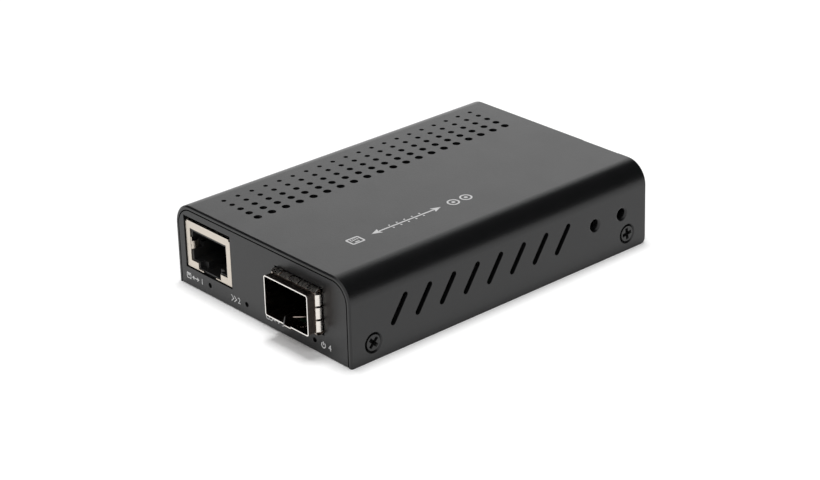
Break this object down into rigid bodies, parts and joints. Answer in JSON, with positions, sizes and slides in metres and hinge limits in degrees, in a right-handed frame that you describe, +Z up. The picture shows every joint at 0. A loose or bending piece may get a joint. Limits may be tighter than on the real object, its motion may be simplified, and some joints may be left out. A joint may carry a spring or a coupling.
{
  "type": "fibre media converter",
  "caption": "Compact black steel case with a shielded copper port and a protruding cage for an optical module, vented on top and slotted in its sides.",
  "frame": {"origin": "middle of the underside of the case, on the surface it stands on", "axes": "+X to the right seen from the front, +Y from the front panel to the rear panel, +Z up"},
  "size_m": [0.06, 0.0937, 0.02],
  "materials": {
    "black_paint": "fine semi-matt black paint",
    "panel_paint": "fine semi-matt black paint",
    "black_screw": "blackened steel",
    "board_laminate": "green solder mask",
    "plated_brass": "nickel-plated brass",
    "zinc_screw": "zinc-plated steel",
    "port_nickel": "satin nickel plate",
    "cage_metal": "bright rolled plate",
    "collar_metal": "bright spring steel",
    "port_plastic": "black moulded nylon",
    "gold_contact": "gold-plated phosphor bronze",
    "chip_resin": "black moulded resin",
    "can_metal": "drawn can",
    "ferrite": "sintered ferrite",
    "chip_ceramic": "fired ceramic with tinned ends",
    "light_lens": "clear cast resin"
  },
  "bodies": {
    "root": {"cover": "black_paint", "base_tray": "panel_paint", "side_screws": "black_screw", "circuit_board": "board_laminate", "standoffs": "plated_brass", "board_screws": "zinc_screw", "rj45_shield": "port_nickel", "rj45_housing": "port_plastic", "rj45_contacts": "gold_contact", "sfp_cage": "cage_metal", "emi_collar": "collar_metal", "sfp_connector": "port_plastic", "sfp_contacts": "gold_contact", "dc_jack_housing": "port_plastic", "dc_jack_pin": "gold_contact", "dc_jack_terminal": "cage_metal", "dc_jack_spring": "cage_metal", "converter_chip": "chip_resin", "transformer": "chip_resin", "memory_chip": "chip_resin", "regulator_chip": "chip_resin", "clock_crystal": "can_metal", "power_inductor": "ferrite", "bulk_capacitor_1": "can_metal", "bulk_capacitor_2": "can_metal", "chip_resistors": "chip_ceramic", "ceramic_capacitors": "chip_ceramic", "status_led_1": "light_lens", "status_led_2": "light_lens", "status_led_3": "light_lens", "status_led_4": "light_lens"}
  },
  "joints": []
}
